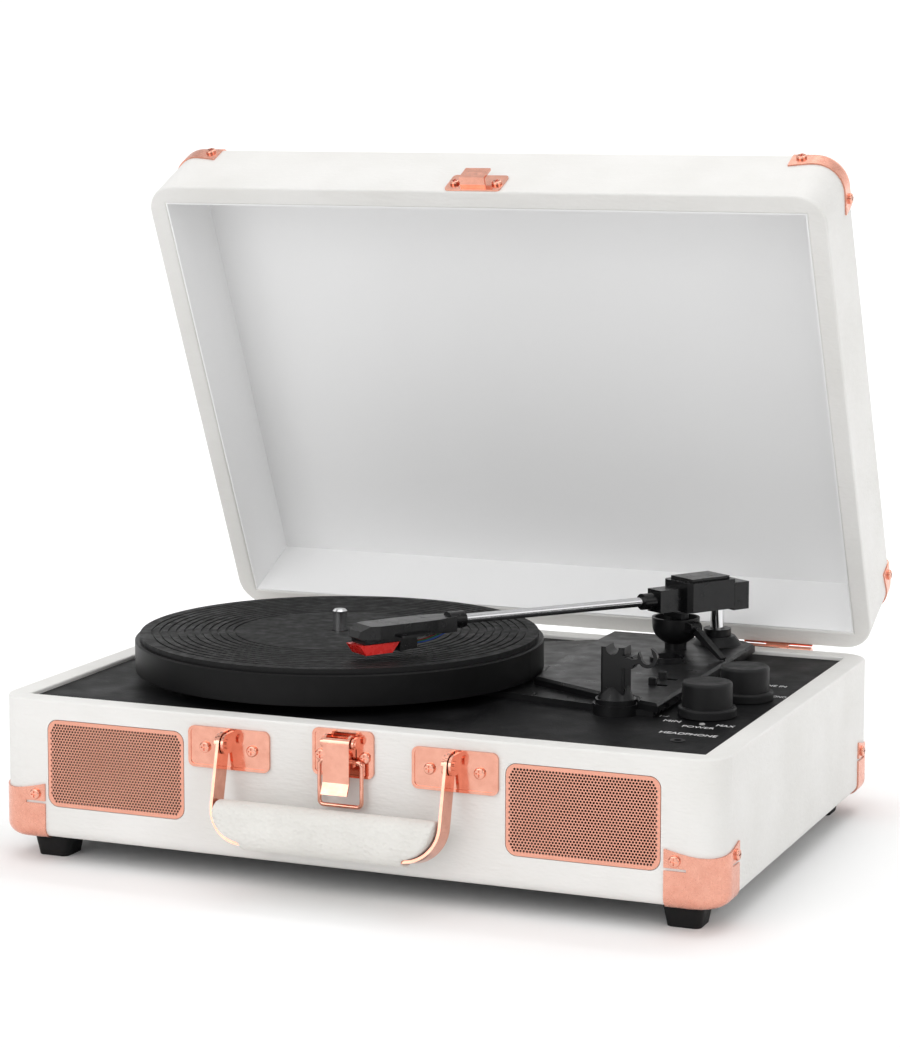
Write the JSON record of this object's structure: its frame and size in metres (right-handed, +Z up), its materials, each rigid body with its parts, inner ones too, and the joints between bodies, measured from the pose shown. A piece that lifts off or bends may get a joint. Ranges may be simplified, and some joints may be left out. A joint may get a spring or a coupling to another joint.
{
  "type": "turntable record player",
  "caption": "Suitcase record player with a hinged lid, front speakers, carry handle, latch, belt-driven platter and tonearm.",
  "frame": {"origin": "on the floor under the middle of the whole object, lid open and handle hanging", "axes": "+Z up, -Y towards the person at the front, +X to that person's right"},
  "size_m": [0.3596, 0.327, 0.3314],
  "materials": {
    "leatherette": "white, with a fine streaked grain",
    "handle_leather": "white, padded, with a fine pebbled grain",
    "lining": "white lining, and the deck's white printing",
    "deck_black": "matte black",
    "knobs": "satin black",
    "rose_gold": "polished rose gold plate",
    "grille_metal": "perforated rose gold sheet",
    "platter_metal": "black coated",
    "mat": "ribbed black",
    "belt": "smooth",
    "spindle_steel": "bright",
    "motor_can": "zinc",
    "cone": "black baskets and paper cones",
    "arm_plastic": "black",
    "arm_metal": "bright plated tube",
    "stylus_red": "red",
    "board": "circuit board",
    "light": "clear red",
    "jack": "black"
  },
  "bodies": {
    "case": {"arm_rest": "deck_black", "base_corner_back_left": "rose_gold", "base_corner_back_right": "rose_gold", "base_corner_front_left": "rose_gold", "base_corner_front_right": "rose_gold", "base_hinge_leaves": "rose_gold", "bottom_panel": "deck_black", "bottom_screws": "spindle_steel", "case_screws": "rose_gold", "case_shell": "leatherette", "control_board": "board", "cue_housing": "deck_black", "deck_panel": "deck_black", "drive_belt": "belt", "feet": "mat", "grille_left": "grille_metal", "grille_right": "grille_metal", "handle_plate_left": "rose_gold", "handle_plate_right": "rose_gold", "headphone_jack": "jack", "hinge_pins": "rose_gold", "latch_plate": "rose_gold", "motor": "motor_can", "pivot_pins": "rose_gold", "power_light": "light", "rear_sockets": "deck_black", "speaker_cones": "cone", "speaker_left": "cone", "speaker_right": "cone", "spindle": "spindle_steel", "turntable_chassis": "deck_black"},
    "lid": {"lid_shell": "leatherette", "lid_lining": "lining", "lid_corner_front_left": "rose_gold", "lid_corner_front_right": "rose_gold", "lid_corner_back_left": "rose_gold", "lid_corner_back_right": "rose_gold", "lid_screws": "rose_gold", "lid_hinge_leaves": "rose_gold", "lid_catch": "rose_gold"},
    "platter": {"platter": "platter_metal", "platter_mat": "mat"},
    "motor_pulley": {"motor_pulley": "spindle_steel"},
    "arm_pivot": {"arm_pivot": "spindle_steel"},
    "tonearm": {"arm_block": "arm_plastic", "arm_tube": "arm_metal", "headshell": "arm_plastic", "cartridge": "arm_plastic", "stylus": "stylus_red"},
    "cue_lift": {"cue_lift": "deck_black"},
    "cue_lever": {"cue_lever": "deck_black"},
    "arm_clip": {"arm_clip": "deck_black"},
    "volume_knob": {"volume_knob": "knobs"},
    "selector_knob": {"selector_knob": "knobs"},
    "speed_switch": {"speed_switch": "deck_black"},
    "auto_stop_switch": {"auto_stop_switch": "deck_black"},
    "handle": {"handle_frame": "rose_gold", "handle_grip": "handle_leather"},
    "latch_lever": {"latch_lever": "rose_gold"},
    "latch_bail": {"latch_bail": "rose_gold"}
  },
  "joints": [
    {"name": "lid_hinge", "type": "hinge", "parent": "case", "child": "lid", "pos_m": [0, 0.12186, 0.0765], "axis": [-1, 0, 0], "range_deg": [-64.75, 30]},
    {"name": "platter_spin", "type": "hinge", "parent": "case", "child": "platter", "pos_m": [-0.0538, -0.02054, 0.088], "axis": [0, 0, 1], "continuous": true},
    {"name": "motor_spin", "type": "hinge", "parent": "case", "child": "motor_pulley", "pos_m": [-0.08477, 0.0237, 0.078], "axis": [0, 0, 1], "continuous": true},
    {"name": "arm_swing", "type": "hinge", "parent": "case", "child": "arm_pivot", "pos_m": [0.104, 0.09326, 0.109], "axis": [0, 0, 1], "range_deg": [-7, 31.71]},
    {"name": "arm_lift", "type": "hinge", "parent": "arm_pivot", "child": "tonearm", "pos_m": [0.104, 0.09326, 0.109], "axis": [-0.8387, 0.5446, 0], "range_deg": [0, 3]},
    {"name": "cue_lever_turn", "type": "hinge", "parent": "case", "child": "cue_lever", "pos_m": [0.1012, 0.06288, 0.0961], "axis": [-0.5446, -0.8387, 0], "range_deg": [0, 30]},
    {"name": "cue_lift_rise", "type": "slide", "parent": "case", "child": "cue_lift", "axis": [0, 0, 1], "range_m": [0, 0.0013]},
    {"name": "arm_clip_turn", "type": "hinge", "parent": "case", "child": "arm_clip", "pos_m": [0.1091, -0.05374, 0.1013], "axis": [0, -1, 0], "range_deg": [0, 128]},
    {"name": "volume_turn", "type": "hinge", "parent": "case", "child": "volume_knob", "pos_m": [0.1412, -0.04274, 0.078], "axis": [0, 0, -1], "range_deg": [-30, 240]},
    {"name": "selector_turn", "type": "hinge", "parent": "case", "child": "selector_knob", "pos_m": [0.1467, -0.00124, 0.078], "axis": [0, 0, -1], "range_deg": [-30, 30]},
    {"name": "speed_slide", "type": "slide", "parent": "case", "child": "speed_switch", "axis": [1, 0, 0], "range_m": [0, 0.005]},
    {"name": "auto_stop_slide", "type": "slide", "parent": "case", "child": "auto_stop_switch", "axis": [1, 0, 0], "range_m": [0, 0.005]},
    {"name": "handle_swing", "type": "hinge", "parent": "case", "child": "handle", "pos_m": [0, -0.14474, 0.067], "axis": [-1, 0, 0], "range_deg": [0, 150]},
    {"name": "latch_lever_turn", "type": "hinge", "parent": "case", "child": "latch_lever", "pos_m": [0.0015, -0.14294, 0.072], "axis": [1, 0, 0], "range_deg": [-80, 0]},
    {"name": "latch_bail_turn", "type": "hinge", "parent": "latch_lever", "child": "latch_bail", "pos_m": [0.0015, -0.14154, 0.0635], "axis": [-1, 0, 0], "range_deg": [0, 180]}
  ],
  "couplings": [
    {"joint": "motor_spin", "follows": "platter_spin", "ratio": 13.235},
    {"joint": "cue_lever_turn", "follows": "arm_lift", "ratio": 10},
    {"joint": "cue_lift_rise", "follows": "arm_lift", "m_per_rad": 0.0245}
  ]
}
